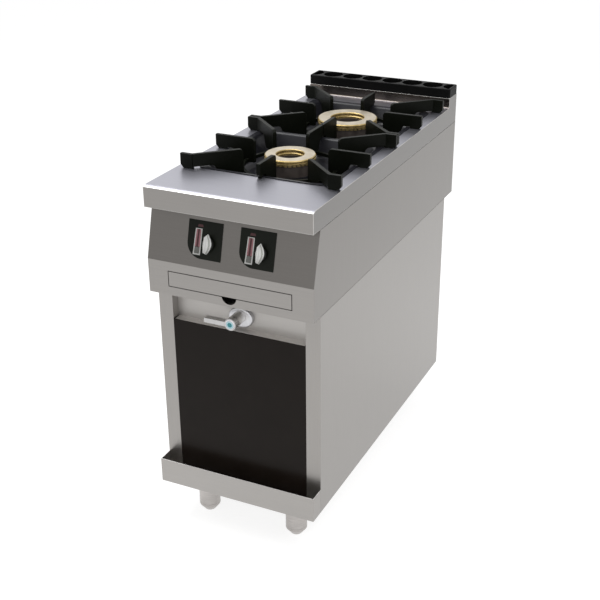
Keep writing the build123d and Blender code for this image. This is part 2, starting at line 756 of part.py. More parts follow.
def grate(centre, outward):
    """One cast grate: four straight arms, four diagonal ones, corner feet and a low ring.

    outward is -1 on the front grate and 1 on the rear one: the straight arm on that side
    stands on the worktop, and the one on the other side hops over the basin's ridge.
    """
    half_length = GRATE_LENGTH / 2
    edge = half_length - ARM / 2
    side_arm = arm((GRATE_HALF, 0), (93, 0), 28.5, 42.5, 66.5)
    outer_arm = arm((0, outward * half_length), (0, outward * 86), 10, 22, 46)
    ridge_arm = arm((0, -outward * half_length), (0, -outward * 86), 0, 8, 34)
    diagonal = arm((FOOT_END + 2, -edge), (82, -79), 0, 42, 68)
    with BuildPart() as corner_foot:
        with BuildSketch(Plane.XZ.offset(edge)):
            with BuildLine():
                Polyline(
                    (GRATE_HALF, GRATE_TOP_Z),
                    (GRATE_HALF, WORKTOP_Z + 8),
                    (GRATE_HALF - 7, WORKTOP_Z),
                    (FOOT_END, WORKTOP_Z),
                    (FOOT_END, GRATE_TOP_Z),
                    close=True,
                )
            make_face()
        extrude(amount=ARM / 2, both=True)
    with BuildPart() as casting:
        add([side_arm, diagonal, corner_foot.part])
        mirror(about=Plane.YZ)
        mirror(about=Plane.XZ)
        add([outer_arm, ridge_arm])
        with BuildSketch(Plane.XY.offset(ARM_LOW_Z)):
            Circle(LINK_RADIUS + 4)
            Circle(LINK_RADIUS - 4, mode=Mode.SUBTRACT)
        extrude(amount=8)
    casting.part = casting.part.moved(Location((TOP_X - 0.5, centre, 0)))
    return casting


keep(grate(back(301.5), -1), "grate_front")
keep(grate(back(632.5), 1), "grate_rear")


# Control panel: bezels, gas valves, stems, stem collars and knobs, all square to the slope
SKIRT_OUT = 5.5
SKIRT_HEIGHT = 4.0
STEM_RADIUS = 4.0
VALVE_BACK = -62.0
OUTLET_UP = 26.0
OUTLET_OUT = -47.0
MANIFOLD_OUT = -76.0
MANIFOLD_RADIUS = 10.0


def bezel(across):
    """Black bezel, square but for one large round corner."""
    with BuildPart() as plate:
        with BuildSketch(on_panel(across, BEZEL_UP)) as outline:
            Rectangle(BEZEL_SIZE, BEZEL_SIZE)
            fillet(outline.vertices().group_by(Axis.X)[0].sort_by(Axis.Y)[0], 35)
        extrude(amount=SHEET)
        knob_across, knob_up = min(KNOBS.values(), key=lambda place: abs(place[0] - across))
        with BuildSketch(on_panel(knob_across, knob_up)):
            Circle(6)
        extrude(amount=SHEET, mode=Mode.SUBTRACT)
    return plate


def gas_valve(across, up):
    """Valve body behind the panel: nose with the stem's bore, block, and outlet on top."""
    with BuildPart() as valve:
        with BuildSketch(on_panel(across, up, -20)):
            Circle(12)
        extrude(amount=-12)
        with BuildSketch(on_panel(across, up, -32)):
            RectangleRounded(30, 32, 4)
        extrude(amount=32 + VALVE_BACK)
        with BuildSketch(on_panel(across, up, -20)):
            Circle(STEM_RADIUS + 0.05)
        extrude(amount=-22, mode=Mode.SUBTRACT)
        outlet = PANEL.from_local_coords((across, up + 16, OUTLET_OUT))
        with BuildSketch(Plane(origin=outlet, x_dir=(1, 0, 0), z_dir=PANEL.y_dir)):
            Circle(7)
        extrude(amount=10)
    return valve


def valve_stem(across, up):
    """Stem from inside the valve to the knob."""
    with BuildPart() as stem:
        with BuildSketch(on_panel(across, up, -36)):
            Circle(STEM_RADIUS)
        extrude(amount=36 + SKIRT_OUT)
    return stem


def stem_collar(across, up):
    """Thrust collar on the stem in front of the valve, which the push moves."""
    with BuildPart() as collar:
        with BuildSketch(on_panel(across, up, -15)):
            Circle(8)
            Circle(STEM_RADIUS + 0.05, mode=Mode.SUBTRACT)
        extrude(amount=3)
    return collar


def knob_skirt(across, up):
    """Black round base of a knob."""
    with BuildPart() as skirt:
        with BuildSketch(on_panel(across, up, SKIRT_OUT)):
            Circle(14)
        extrude(amount=SKIRT_HEIGHT, taper=8)
    return skirt


def leaf(width, height):
    """Pointed oval between two arcs."""
    bow = (width**2 + height**2) / (4 * width)
    with BuildSketch() as outline:
        with BuildLine():
            RadiusArc((0, -height / 2), (0, height / 2), bow)
            RadiusArc((0, height / 2), (0, -height / 2), bow)
        make_face()
    return outline.sketch


def knob_grip(across, up):
    """Leaf-shaped grip that narrows to a ridge along its middle."""
    with BuildPart() as grip:
        base = SKIRT_OUT + SKIRT_HEIGHT
        with BuildSketch(on_panel(across, up, base)):
            add(leaf(GRIP_WIDTH, GRIP_LENGTH))
        extrude(amount=4)
        with BuildSketch(on_panel(across, up, base + 4)):
            add(leaf(GRIP_WIDTH, GRIP_LENGTH))
        with BuildSketch(on_panel(across, up, KNOB_HEIGHT)):
            add(leaf(4, GRIP_RIDGE_LENGTH))
        loft()
    return grip


for hand, place in KNOBS.items():
    keep(bezel(BEZELS[hand]), f"bezel_{hand}")
    keep(gas_valve(*place), f"gas_valve_{hand}")
    keep(valve_stem(*place), f"valve_stem_{hand}")
    keep(stem_collar(*place), f"stem_collar_{hand}")
    keep(knob_skirt(*place), f"knob_skirt_{hand}")
    keep(knob_grip(*place), f"knob_grip_{hand}")

# Gas manifold behind the valves, with a boss for each
MANIFOLD_LEFT = -160.0
MANIFOLD_RIGHT = 105.0
manifold_axis = PANEL.from_local_coords((MANIFOLD_LEFT, KNOBS["left"][1], MANIFOLD_OUT))
with BuildPart() as gas_manifold:
    with BuildSketch(Plane(origin=manifold_axis, x_dir=(0, 1, 0), z_dir=(1, 0, 0))):
        Circle(MANIFOLD_RADIUS)
    extrude(amount=MANIFOLD_RIGHT - MANIFOLD_LEFT)
    for place in KNOBS.values():
        with BuildSketch(on_panel(*place, MANIFOLD_OUT)):
            Circle(8)
        extrude(amount=VALVE_BACK - MANIFOLD_OUT)
keep(gas_manifold, "gas_manifold")


def pipe(points, radius, bend):
    """Round pipe along straight runs joined by arcs."""
    with BuildPart() as run:
        with BuildLine() as route:
            FilletPolyline(*points, radius=bend)
        with BuildSketch(Plane(origin=route.line @ 0, z_dir=route.line % 0)):
            Circle(radius)
        sweep()
    return run


def threaded_end(run, x, radius):
    """Adds a fitting behind the cabinet back: a hexagon and a plain stub of the thread's size."""
    with BuildPart() as fitting:
        add(run.part)
        with BuildSketch(Plane.XZ.offset(-CABINET_REAR - 3)):
            with Locations((x, PIPE_EXIT_Z)):
                RegularPolygon(radius + 5, 6)
        extrude(amount=-8)
        with BuildSketch(Plane.XZ.offset(-CABINET_REAR - 11)):
            with Locations((x, PIPE_EXIT_Z)):
                Circle(radius)
        extrude(amount=-20)
    return fitting


THREAD_RADIUS = 10.48
gas_inlet_pipe = threaded_end(
    pipe(
        [
            (MANIFOLD_LEFT, manifold_axis.Y, manifold_axis.Z),
            (GAS_RUN_X - 6, manifold_axis.Y, manifold_axis.Z),
            (GAS_RUN_X - 6, GAS_DROP_Y, manifold_axis.Z),
            (-PIPE_X, GAS_DROP_Y, manifold_axis.Z),
            (-PIPE_X, GAS_DROP_Y, PIPE_EXIT_Z),
            (-PIPE_X, CABINET_REAR + 4, PIPE_EXIT_Z),
        ],
        GAS_RADIUS,
        22,
    ),
    -PIPE_X,
    THREAD_RADIUS,
)
keep(gas_inlet_pipe, "gas_inlet_pipe")

# Feed pipes from each valve's outlet to its injector
FEED_RADIUS = 4.0
REAR_FEED_X = 92.0


def feed_start(hand):
    """Open end of a valve's outlet, and a point a little further up along it."""
    across, up = KNOBS[hand]
    start = PANEL.from_local_coords((across, up + OUTLET_UP, OUTLET_OUT))
    further = PANEL.from_local_coords((across, up + OUTLET_UP + 24, OUTLET_OUT))
    return start, further


front_start, front_further = feed_start("left")
front_tail = mixer_mouth(BURNERS["front"]) - 14
feed_pipe_front = pipe(
    [
        front_start,
        front_further,
        (BURNER_X, front_further.Y + 6, MIXER_Z),
        (BURNER_X, front_tail, MIXER_Z),
    ],
    FEED_RADIUS,
    10,
)
keep(feed_pipe_front, "feed_pipe_front")

rear_start, rear_further = feed_start("right")
rear_tail = mixer_mouth(BURNERS["rear"]) - 14
feed_pipe_rear = pipe(
    [
        rear_start,
        rear_further,
        (REAR_FEED_X, rear_further.Y + 30, rear_further.Z),
        (REAR_FEED_X, rear_tail - 40, rear_further.Z),
        (BURNER_X, rear_tail - 40, MIXER_Z),
        (BURNER_X, rear_tail, MIXER_Z),
    ],
    FEED_RADIUS,
    14,
)
keep(feed_pipe_rear, "feed_pipe_rear")

# Drip drawer: folded front, tray with a turned-out rim, and the runners it slides on
with BuildPart() as drawer_front:
    with BuildSketch(Plane.XZ.offset(-FRONT)):
        with Locations((0, DRAWER_Z + DRAWER_HEIGHT / 2)):
            Rectangle(2 * DRAWER_HALF, DRAWER_HEIGHT)
    extrude(amount=-12)
    offset(amount=-SHEET, openings=drawer_front.faces().sort_by(Axis.Y)[-1])
keep(drawer_front, "drawer_front")

with BuildPart() as drip_tray:
    with BuildSketch(Plane.XY.offset(TRAY_Z)):
        with Locations((0, (back(SHEET) + TRAY_REAR) / 2)):
            Rectangle(2 * TRAY_HALF, TRAY_REAR - back(SHEET))
    extrude(amount=TRAY_HEIGHT)
    fillet(drip_tray.edges().filter_by(Axis.Z).group_by(Axis.Y)[-1], 12)
    offset(amount=-1.2, openings=drip_tray.faces().sort_by(Axis.Z)[-1])
keep(drip_tray, "drip_tray")

with BuildPart() as tray_runners:
    with BuildSketch(Plane.XZ.offset(-back(16.0))):
        with Locations((TRAY_HALF + 2.75, (UNIT_Z + 2 * SHEET + TRAY_Z + 18) / 2)):
            Rectangle(SHEET, TRAY_Z + 18 - UNIT_Z - 2 * SHEET)
        with Locations((TRAY_HALF - 5, TRAY_Z - SHEET / 2)):
            Rectangle(14, SHEET)
        with Locations((TRAY_HALF + 1, TRAY_Z - SHEET / 2)):
            Rectangle(3, SHEET)
        with Locations((TRAY_HALF + 9.5, UNIT_Z + 2 * SHEET + SHEET / 2)):
            Rectangle(13, SHEET)
    extrude(amount=-(TRAY_REAR - back(16.0)))
    mirror(about=Plane.YZ)
keep(tray_runners, "tray_runners")

# Water tap: flange and body on the fascia, back nut behind it, handle and cap that turn in front
TAP_RADIUS = 14.0
TAP_OUTLET_X = 16.0
HANDLE_DEPTH = 15.0
FLANGE_DROP = 4.0
FLANGE_DEPTH = 10.0
with BuildPart() as tap_flange:
    with BuildSketch(Plane.XZ.offset(-FASCIA_Y)):
        with Locations((0, TAP_Z - FLANGE_DROP)):
            Ellipse(30, 24)
    extrude(amount=FLANGE_DEPTH)
    fillet(tap_flange.faces().sort_by(Axis.Y)[0].edges(), 4)
    with BuildSketch(Plane.XZ.offset(-FASCIA_Y)):
        with Locations((0, TAP_Z)):
            Circle(TAP_RADIUS)
    extrude(amount=FLANGE_DEPTH, mode=Mode.SUBTRACT)
keep(tap_flange, "tap_flange")

with BuildPart() as tap_body:
    with BuildSketch(Plane.XZ.offset(-back(HANDLE_DEPTH + 1.0))):
        with Locations((0, TAP_Z)):
            Circle(TAP_RADIUS)
    extrude(amount=-(FASCIA_Y - back(HANDLE_DEPTH + 1.0)))
    with BuildSketch(Plane.XZ.offset(-FASCIA_Y)):
        with Locations((0, TAP_Z)):
            Circle(10)
    extrude(amount=-44)
    with BuildSketch(Plane.XZ.offset(-back(HANDLE_DEPTH + 1.0))):
        with Locations((0, TAP_Z)):
            Circle(5.05)
    extrude(amount=-14, mode=Mode.SUBTRACT)
    with BuildSketch(Plane.YZ):
        with Locations((FILL_RUN_Y, TAP_Z)):
            Circle(7)
    extrude(amount=TAP_OUTLET_X)
keep(tap_body, "tap_body")

with BuildPart() as tap_nut:
    with BuildSketch(Plane.XZ.offset(-FASCIA_Y - SHEET)):
        with Locations((0, TAP_Z)):
            RegularPolygon(16, 6)
            Circle(10.05, mode=Mode.SUBTRACT)
    extrude(amount=-8)
keep(tap_nut, "tap_nut")

with BuildPart() as tap_handle:
    with BuildSketch(Plane.XZ.offset(-FRONT)):
        with Locations((0, TAP_Z)):
            Circle(TAP_RADIUS)
        with Locations((-33, TAP_Z)):
            Rectangle(64, 16)
    extrude(amount=-HANDLE_DEPTH)
    with BuildSketch(Plane.XZ.offset(-FRONT)):
        with Locations((0, TAP_Z)):
            Circle(12)
    extrude(amount=-3, mode=Mode.SUBTRACT)
    fillet(tap_handle.edges().filter_by(Axis.Y).group_by(Axis.X)[0], 2)
    with BuildSketch(Plane.XZ.offset(-back(HANDLE_DEPTH))):
        with Locations((0, TAP_Z)):
            Circle(5)
    extrude(amount=-12)
keep(tap_handle, "tap_handle")

with BuildPart() as tap_cap:
    with BuildSketch(Plane.XZ.offset(-back(3.0))):
        with Locations((0, TAP_Z)):
            Circle(12)
    extrude(amount=4.5)
    fillet(tap_cap.faces().sort_by(Axis.Y)[0].edges(), 1.5)
keep(tap_cap, "tap_cap")

# Water pipes: supply from the threaded end behind, and fill pipe up to the basin floor
TAP_TAIL_Y = FASCIA_Y + 44
water_supply_pipe = threaded_end(
    pipe(
        [
            (0, TAP_TAIL_Y, TAP_Z),
            (0, TAP_TAIL_Y + 40, TAP_Z),
            (PIPE_X, TAP_TAIL_Y + 40, TAP_Z),
            (PIPE_X, GAS_DROP_Y, TAP_Z),
            (PIPE_X, GAS_DROP_Y, PIPE_EXIT_Z),
            (PIPE_X, CABINET_REAR + 4, PIPE_EXIT_Z),
        ],
        WATER_RADIUS,
        20,
    ),
    PIPE_X,
    THREAD_RADIUS,
)
keep(water_supply_pipe, "water_supply_pipe")

FILL_RADIUS = 5.0
fill_pipe = pipe(
    [
        (TAP_OUTLET_X, FILL_RUN_Y, TAP_Z),
        (FILL_RUN_X, FILL_RUN_Y, TAP_Z),
        (FILL_RUN_X, FILL_RUN_Y, 765),
        (FILL_RUN_X, back(205.0), 765),
        (112, back(205.0), 765),
        (112, back(205.0), BASIN_FLOOR_Z - BASIN_SHEET),
    ],
    FILL_RADIUS,
    16,
)
keep(fill_pipe, "fill_pipe")
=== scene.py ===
import json
from functools import partial
from math import atan2, cos, hypot, pi, radians, sin, tau

import bmesh
import bpy
from mathutils import Matrix, Vector

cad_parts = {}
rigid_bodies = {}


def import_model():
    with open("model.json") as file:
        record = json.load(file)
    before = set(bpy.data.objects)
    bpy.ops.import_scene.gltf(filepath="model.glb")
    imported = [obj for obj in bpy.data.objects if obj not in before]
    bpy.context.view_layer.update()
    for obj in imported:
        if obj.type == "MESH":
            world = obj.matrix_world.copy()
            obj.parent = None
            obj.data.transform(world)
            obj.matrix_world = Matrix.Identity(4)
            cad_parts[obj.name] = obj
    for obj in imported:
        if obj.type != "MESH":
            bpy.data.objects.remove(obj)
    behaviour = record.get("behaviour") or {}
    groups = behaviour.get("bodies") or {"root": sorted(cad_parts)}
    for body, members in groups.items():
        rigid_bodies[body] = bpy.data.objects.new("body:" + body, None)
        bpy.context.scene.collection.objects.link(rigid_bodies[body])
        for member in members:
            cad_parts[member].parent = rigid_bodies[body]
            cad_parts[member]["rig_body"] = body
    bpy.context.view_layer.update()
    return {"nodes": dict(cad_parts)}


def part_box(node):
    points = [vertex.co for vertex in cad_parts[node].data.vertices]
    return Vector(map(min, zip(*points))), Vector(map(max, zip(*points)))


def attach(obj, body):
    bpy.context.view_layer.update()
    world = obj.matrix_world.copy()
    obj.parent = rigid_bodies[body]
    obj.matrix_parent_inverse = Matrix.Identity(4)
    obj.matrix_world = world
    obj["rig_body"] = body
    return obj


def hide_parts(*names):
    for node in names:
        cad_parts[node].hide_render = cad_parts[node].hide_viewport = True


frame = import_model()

MM = 0.001

# How far a corner of a mesh may lie from a place, in millimetres, and still count as being there
SLACK = 0.3


def place(node):
    """Lowest and highest corner of a CAD node, in millimetres."""
    low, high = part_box(node)
    return low / MM, high / MM


# Places that several pieces share, in millimetres, read from the frame
WORKTOP_LOW, WORKTOP_HIGH = place("worktop")
FRONT = WORKTOP_LOW.y
HALF = WORKTOP_HIGH.x
WORKTOP_Z = 850.0
PANEL_LOW, PANEL_HIGH = place("control_panel")
SLOPE_DEPTH = 32.0
SLOPE = atan2(SLOPE_DEPTH, PANEL_HIGH.z - PANEL_LOW.z)
BODY_OF = {node: obj["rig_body"] for node, obj in frame["nodes"].items()}


def on_panel(across, up, out=0.0):
    """Point of the sloped control panel: across it, up it and out from it."""
    return Vector(
        (
            across,
            FRONT + up * sin(SLOPE) - out * cos(SLOPE),
            PANEL_LOW.z + up * cos(SLOPE) + out * sin(SLOPE),
        )
    )


# Finishes


def linear(colour):
    """Linear RGBA of an sRGB hex value."""
    channels = [int(colour[i : i + 2], 16) / 255 for i in (1, 3, 5)]
    return [c / 12.92 if c <= 0.04045 else ((c + 0.055) / 1.055) ** 2.4 for c in channels] + [1.0]


def put(tree, kind, sockets, **settings):
    """Adds a node: its settings, then for each input a value or the output that feeds it."""
    added = tree.nodes.new("ShaderNode" + kind)
    for name, value in settings.items():
        setattr(added, name, value)
    for name, value in sockets.items():
        if isinstance(value, bpy.types.NodeSocket):
            tree.links.new(value, added.inputs[name])
        else:
            added.inputs[name].default_value = value
    return added


def speckle(tree, size_mm, detail, stretch):
    """Noise whose grains are size_mm across, longer along an axis by its stretch."""
    where = put(tree, "TexCoord", {})
    scale = [1.0 / (MM * size_mm * s) for s in stretch]
    scaled = put(tree, "Mapping", {"Vector": where.outputs["Object"], "Scale": scale})
    grain = put(
        tree, "TexNoise", {"Vector": scaled.outputs["Vector"], "Scale": 1.0, "Detail": detail}
    )
    spread = put(
        tree, "MapRange", {"Value": grain.outputs["Fac"], "From Min": 0.3, "From Max": 0.7}
    )
    return spread.outputs["Result"]


def finish(name, light, dark, patch_mm, grain_mm, rough, relief_mm, stretch=(1, 1, 1), **shader):
    """A surface with patches between two hex colours, and a grain that roughens and lifts it.

    patch_mm and grain_mm are how wide the patches and the grain are, rough is the least and the
    most roughness, relief_mm is the height of the grain, and the rest goes to the shader.
    """
    material = bpy.data.materials.new(name)
    material.use_nodes = True
    tree = material.node_tree
    tree.nodes.clear()
    patches = speckle(tree, patch_mm, 2.0, stretch)
    grain = speckle(tree, grain_mm, 3.0, stretch)
    colour = put(
        tree,
        "Mix",
        {"Factor": patches, "A": linear(dark), "B": linear(light)},
        data_type="RGBA",
    )
    roughness = put(tree, "MapRange", {"Value": grain, "To Min": rough[0], "To Max": rough[1]})
    relief = put(tree, "Bump", {"Height": grain, "Distance": relief_mm * MM, "Strength": 1.0})
    sockets = {key.replace("_", " "): value for key, value in shader.items()}
    shown_as = put(
        tree,
        "BsdfPrincipled",
        {
            "Base Color": colour.outputs[2],
            "Roughness": roughness.outputs["Result"],
            "Normal": relief.outputs["Normal"],
            **sockets,
        },
    )
    put(tree, "OutputMaterial", {"Surface": shown_as.outputs["BSDF"]})
    return material


# Stainless sheet, brushed with a 180 grit belt. Its scratches are 0.1 mm wide, too fine for the
# picture, so they are drawn 0.8 mm wide and very shallow: the eye gets a soft, even reflection
# that is a little longer across the brushing. Real sheet is 40 times longer grained than wide.
UPRIGHT = (1, 1, 40)
ACROSS = (40, 1, 1)
FORE_AND_AFT = (1, 40, 1)

# These sheets are one stainless steel in lit and shaded copies: each is painted a little lighter
# or darker, and the worktop's top a little bluer, as painted light and shade for how light falls on
# it. The sheets differ a little in how light they are, and each shade is matched to the photo
cabinet_steel = finish(
    "brushed_stainless_cabinet",
    "#989592", "#969390", 3.0, 0.8, (0.3, 0.34), 0.002, UPRIGHT,
    Metallic=1.0,
)
side_steel = finish(
    "brushed_stainless_sides",
    "#878481", "#85827f", 3.0, 0.8, (0.3, 0.34), 0.002, UPRIGHT,
    Metallic=1.0,
)
skirt_steel = finish(
    "brushed_stainless_skirt",
    "#817f7d", "#7f7d7b", 3.0, 0.8, (0.3, 0.34), 0.002, FORE_AND_AFT,
    Metallic=1.0,
)
apron_steel = finish(
    "brushed_stainless_apron",
    "#93908d", "#918e8b", 3.0, 0.8, (0.36, 0.4), 0.002, ACROSS,
    Metallic=1.0,
)
rail_steel = finish(
    "brushed_stainless_rail",
    "#979491", "#95928f", 3.0, 0.8, (0.36, 0.4), 0.002, ACROSS,
    Metallic=1.0,
)
lip_steel = finish(
    "brushed_stainless_base",
    "#a3a09d", "#a19e9b", 3.0, 0.8, (0.4, 0.44), 0.002, ACROSS,
    Metallic=1.0,
)
top_steel = finish(
    "brushed_stainless_worktop",
    "#a2a2aa", "#a0a0a8", 3.0, 0.8, (0.35, 0.39), 0.002, ACROSS,
    Metallic=1.0,
)
# The sheet of the sloped panel is darker than the rest and looks almost like gunmetal
panel_steel = finish(
    "brushed_stainless_dark",
    "#6f6c69", "#6d6a67", 3.0, 0.8, (0.32, 0.36), 0.002, ACROSS,
    Metallic=1.0,
)
# Rounded edges are painted lighter than the sheet beside them: a painted highlight along the rims
edge_highlight_steel = finish(
    "painted_highlight_stainless_edges",
    "#c8c6c3", "#c0bebb", 3.0, 0.8, (0.28, 0.34), 0.002,
    Metallic=1.0,
)
# Edges beside the gaps between sheets are painted dark: a painted shadow that draws the lines of
# the gaps
gap_shadow_steel = finish(
    "painted_gap_shadow_edges",
    "#33302d", "#2a2725", 3.0, 0.8, (0.4, 0.5), 0.004,
    Metallic=1.0,
)
# The inside of the base's lip, a channel in shade, is painted pale and barely metallic: painted
# light
lip_painted_light_steel = finish(
    "painted_light_lip_inside",
    "#efedea", "#e8e6e3", 6.0, 1.2, (0.3, 0.38), 0.002, ACROSS,
    Metallic=0.1,
)
# The fascia behind the tap is brushed along, and its sheet is painted lighter than the rest, as
# painted light that takes away the shade of its recess, so it looks as even as the rail above it
fascia_steel = finish(
    "brushed_stainless_fascia",
    "#adaaa7", "#aba8a5", 3.0, 0.8, (0.46, 0.5), 0.002, ACROSS,
    Metallic=1.0,
)
# Its ledge lies in shadow, and is painted paler than the fascia: painted light that also lightens
# its reflection in the fascia
ledge_steel = finish(
    "painted_light_stainless_ledge",
    "#e4e1de", "#e0ddda", 2.0, 0.6, (0.5, 0.56), 0.004,
    Metallic=1.0,
)
# The upstand before the flue is satin polished, and its sheet is painted dark: a painted reflection
# of the black grates, which darkens all of it softly
upstand_steel = finish(
    "painted_reflection_dark_upstand",
    "#6b645f", "#665f5a", 6.0, 1.6, (0.24, 0.3), 0.002, ACROSS,
    Metallic=1.0,
)
# Sheet inside the range keeps its mill finish: dull, with long faint rolling marks
inner_steel = finish(
    "mill_stainless_inside",
    "#a5a4a2", "#979694", 12.0, 1.2, (0.38, 0.48), 0.006, FORE_AND_AFT,
    Metallic=1.0,
)
# Turned feet: fine lathe rings round them, which spread highlights sideways
foot_steel = finish(
    "turned_stainless_feet",
    "#b6b2af", "#a8a4a1", 2.0, 0.9, (0.3, 0.38), 0.008, (12, 12, 1),
    Metallic=1.0,
)
# Zinc plate on steel pipe, passivated: bluish grey with cloudy patches
pipe_zinc = finish(
    "zinc_plated_steel",
    "#b9bcbc", "#9fa3a4", 6.0, 2.0, (0.3, 0.45), 0.02,
    Metallic=1.0,
)
# Vitreous enamel fired over sand-cast iron: black with a dull shine, uneven like orange peel
grate_enamel = finish(
    "enamelled_cast_iron_grates",
    "#0d0f0a", "#090b06", 30.0, 2.4, (0.34, 0.46), 0.14,
    Specular_IOR_Level=0.09,
)
flue_enamel = finish(
    "enamelled_cast_iron_flue",
    "#0b0b0b", "#070707", 30.0, 2.4, (0.4, 0.54), 0.12,
    Specular_IOR_Level=0.08,
)
# Heat-blackened iron of the burner bodies, with a brown scale burnt on
burner_iron = finish(
    "scaled_cast_iron_burners",
    "#4d4642", "#38322f", 14.0, 1.8, (0.3, 0.42), 0.12,
    Specular_IOR_Level=0.5,
)
# Enamel on pressed sheet is smoother than on iron and has a slow waviness
basin_enamel = finish(
    "enamelled_pressed_basin",
    "#1e1e22", "#19191d", 40.0, 12.0, (0.28, 0.36), 0.02,
    Specular_IOR_Level=0.2,
)
# Brass turned on a lathe and dulled by heat: matt gold-brown walls
ring_brass = finish(
    "heat_dulled_turned_brass",
    "#bea878", "#9a8654", 9.0, 1.2, (0.38, 0.48), 0.02,
    Metallic=1.0,
)
# The level tops of the rings are drawn in a paler brass than their walls
ring_face_brass = finish(
    "pale_brass_ring_tops",
    "#c8bfae", "#b6ac99", 22.0, 1.2, (0.36, 0.46), 0.01,
    Metallic=1.0,
)
gas_brass = finish(
    "machined_brass_fittings",
    "#c9a866", "#a8874a", 9.0, 1.2, (0.28, 0.4), 0.01,
    Metallic=1.0,
)
# Drawn copper pipe that has dulled where hands and flux touched it
copper = finish(
    "drawn_copper_pipe",
    "#c4835c", "#9c5f40", 18.0, 2.0, (0.26, 0.42), 0.008,
    Metallic=1.0,
)
# Die-cast aluminium: pale grey, matt, with a fine pebbled skin
mixer_alloy = finish(
    "die_cast_aluminium_mixers",
    "#b6b6b4", "#9c9c9a", 4.0, 1.5, (0.42, 0.58), 0.05,
    Metallic=1.0,
)
# Chrome plate over brass: the barrel is buffed and pale, and the lever is greyer and mirrors more
# sharply. The lever's top is painted paler and is duller: a painted highlight for the light from
# above
barrel_chrome = finish(
    "chrome_plated_barrel",
    "#efedea", "#e3e1de", 12.0, 6.0, (0.3, 0.36), 0.004,
    Metallic=1.0,
)
lever_chrome = finish(
    "chrome_plated_lever",
    "#b9b8b8", "#b0afaf", 12.0, 6.0, (0.1, 0.16), 0.004,
    Metallic=1.0,
)
lever_top_chrome = finish(
    "chrome_lever_top_painted_highlight",
    "#dedcda", "#d6d4d2", 12.0, 6.0, (0.4, 0.46), 0.004,
    Metallic=1.0,
)
# The flange behind the tap is satin chrome, which takes a soft pale light
flange_chrome = finish(
    "satin_chromed_flange",
    "#cbcbcd", "#c1c1c4", 12.0, 3.0, (0.34, 0.42), 0.004,
    Metallic=1.0,
)
# Baked lacquer on steel sheet: smooth, with the slight waviness of a sprayed coat
cover_lacquer = finish(
    "black_baked_lacquer",
    "#1b1511", "#17110d", 60.0, 20.0, (0.3, 0.34), 0.006,
    Specular_IOR_Level=0.12,
)
# Silver lacquer with fine metal flakes, too fine for the picture and so drawn 0.6 mm wide
grip_lacquer = finish(
    "silver_lacquered_grips",
    "#f8f8f6", "#ececea", 0.6, 0.6, (0.22, 0.32), 0.004,
    Specular_IOR_Level=0.5,
)
# In the flutes the lacquer is painted grey: painted shade on the flute sides
flute_painted_shade = finish(
    "grey_painted_shade_in_flutes",
    "#c6c8c2", "#b8bab4", 0.6, 0.6, (0.3, 0.4), 0.004,
    Specular_IOR_Level=0.5,
)
# Injection-moulded plastic with the fine spark-eroded grain of its mould
bezel_plastic = finish(
    "moulded_black_bezels",
    "#11140e", "#0d100a", 8.0, 0.8, (0.36, 0.46), 0.01,
    Specular_IOR_Level=0.13,
)
skirt_plastic = finish(
    "moulded_black_skirts",
    "#121311", "#0d0e0c", 6.0, 0.8, (0.32, 0.42), 0.01,
    Specular_IOR_Level=0.25,
)
# Screen-printing ink: matt, a little thicker at its edges
print_grey = finish("screen_print_grey", "#c9c9c6", "#bcbcb9", 3.0, 0.6, (0.5, 0.6), 0.01)
print_dark = finish("screen_print_dark_grey", "#6d6e6a", "#5f605c", 3.0, 0.6, (0.5, 0.6), 0.01)
print_pink = finish("screen_print_dull_pink", "#9a6a70", "#8c5d63", 3.0, 0.6, (0.5, 0.6), 0.01)
print_red = finish("screen_print_dark_red", "#401016", "#360c11", 3.0, 0.6, (0.5, 0.6), 0.01)
# Glossy plastic of the tap's cap: a pale rim, a pale blue disc and a teal dot for cold water
cap_rim = finish("moulded_white_cap", "#faf6f8", "#f3eef1", 8.0, 2.0, (0.16, 0.24), 0.004)
cap_disc = finish("moulded_pale_blue_disc", "#c9eef6", "#bde4ee", 8.0, 2.0, (0.16, 0.24), 0.004)
cap_dot = finish("moulded_teal_dot", "#3a97a0", "#328d96", 4.0, 2.0, (0.2, 0.28), 0.004)


# Making meshes


def shown(name, bm, node, materials, replaced=(), sharp=32.0):
    """Turns a mesh in millimetres into a finished piece on the body of a CAD node."""
    body = BODY_OF[node]
    bmesh.ops.recalc_face_normals(bm, faces=bm.faces)
    for face in bm.faces:
        face.smooth = True
    for edge in bm.edges:
        if len(edge.link_faces) == 2:
            edge.smooth = edge.calc_face_angle(pi) < radians(sharp)
    bmesh.ops.scale(bm, vec=(MM, MM, MM), verts=bm.verts)
    mesh = bpy.data.meshes.new(name)
    bm.to_mesh(mesh)
    bm.free()
    made = bpy.data.objects.new(name, mesh)
    bpy.context.scene.collection.objects.link(made)
    for one in materials:
        mesh.materials.append(one)
    even = made.modifiers.new("even_shading", "WEIGHTED_NORMAL")
    even.weight = 100
    even.keep_sharp = True
    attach(made, body)
    if replaced:
        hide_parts(*replaced)
    return made


def copied(node):
    """The solids of a CAD node as one clean mesh in millimetres."""
    bm = bmesh.new()
    bm.from_mesh(frame["nodes"][node].data)
    bmesh.ops.scale(bm, vec=(1 / MM, 1 / MM, 1 / MM), verts=bm.verts)
    bmesh.ops.remove_doubles(bm, verts=bm.verts, dist=0.002)
    bmesh.ops.dissolve_limit(
        bm, angle_limit=radians(0.4), verts=bm.verts, edges=bm.edges, delimit=set()
    )
    return bm


def eased(bm, edges, width, segments=2, finish_index=-1):
    """Rounds edges of a mesh by a width in millimetres, with the finish of that index on them."""
    bmesh.ops.bevel(
        bm,
        geom=edges,
        offset=width,
        offset_type="OFFSET",
        segments=segments,
        profile=0.5,
        affect="EDGES",
        clamp_overlap=True,
        material=finish_index,
    )


def sharp_edges(bm, sharper_than=28.0):
    """The edges of a mesh where two faces meet at more than an angle."""
    limit = radians(sharper_than)
    return [e for e in bm.edges if len(e.link_faces) == 2 and e.calc_face_angle(0) > limit]


